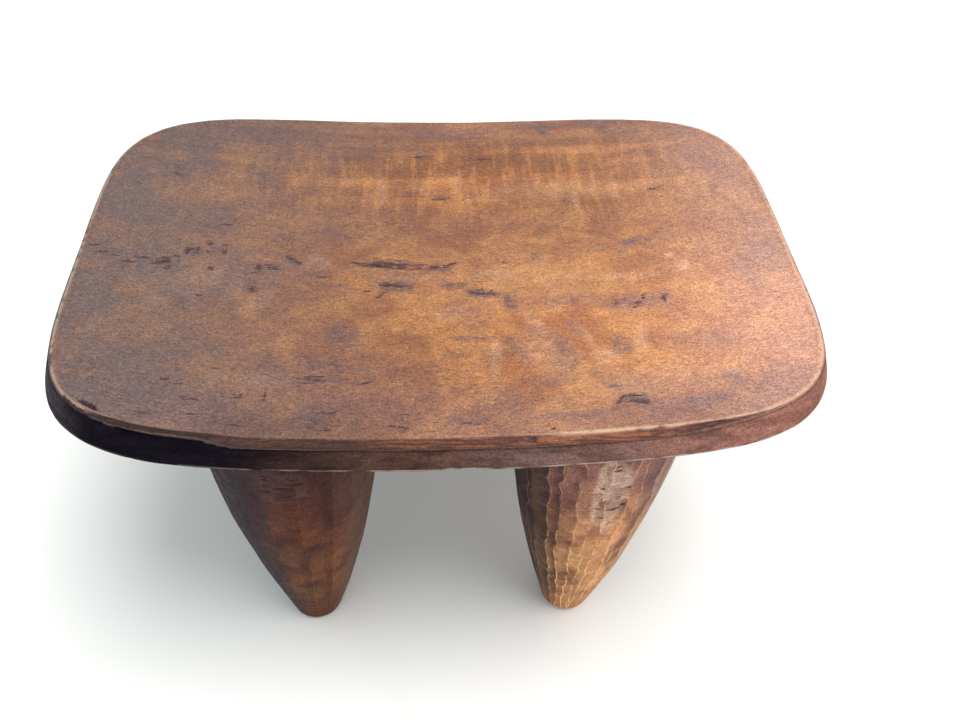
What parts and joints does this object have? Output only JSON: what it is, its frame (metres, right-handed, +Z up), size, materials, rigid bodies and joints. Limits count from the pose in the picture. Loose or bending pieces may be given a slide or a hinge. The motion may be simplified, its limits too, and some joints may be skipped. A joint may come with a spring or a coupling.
{
  "type": "carved headrest stool",
  "caption": "Low hardwood headrest or stool carved from one block: a dished round-cornered slab with a bevelled rim on fat tapering legs.",
  "frame": {"origin": "on the floor, under the middle of the slab", "axes": "+Z up, +X along the slab's length to the right, +Y to the rear (away from the side the picture shows)"},
  "size_m": [0.4046, 0.2886, 0.2448],
  "materials": {
    "seat": "worn satin, hand-rubbed",
    "leg_front_left": "adze-cut, waxy",
    "leg_front_right": "adze-cut, waxy",
    "leg_rear_left": "adze-cut, waxy",
    "leg_rear_right": "adze-cut, waxy"
  },
  "bodies": {
    "root": {"seat": "seat", "leg_front_left": "leg_front_left", "leg_front_right": "leg_front_right", "leg_rear_left": "leg_rear_left", "leg_rear_right": "leg_rear_right"}
  },
  "joints": []
}
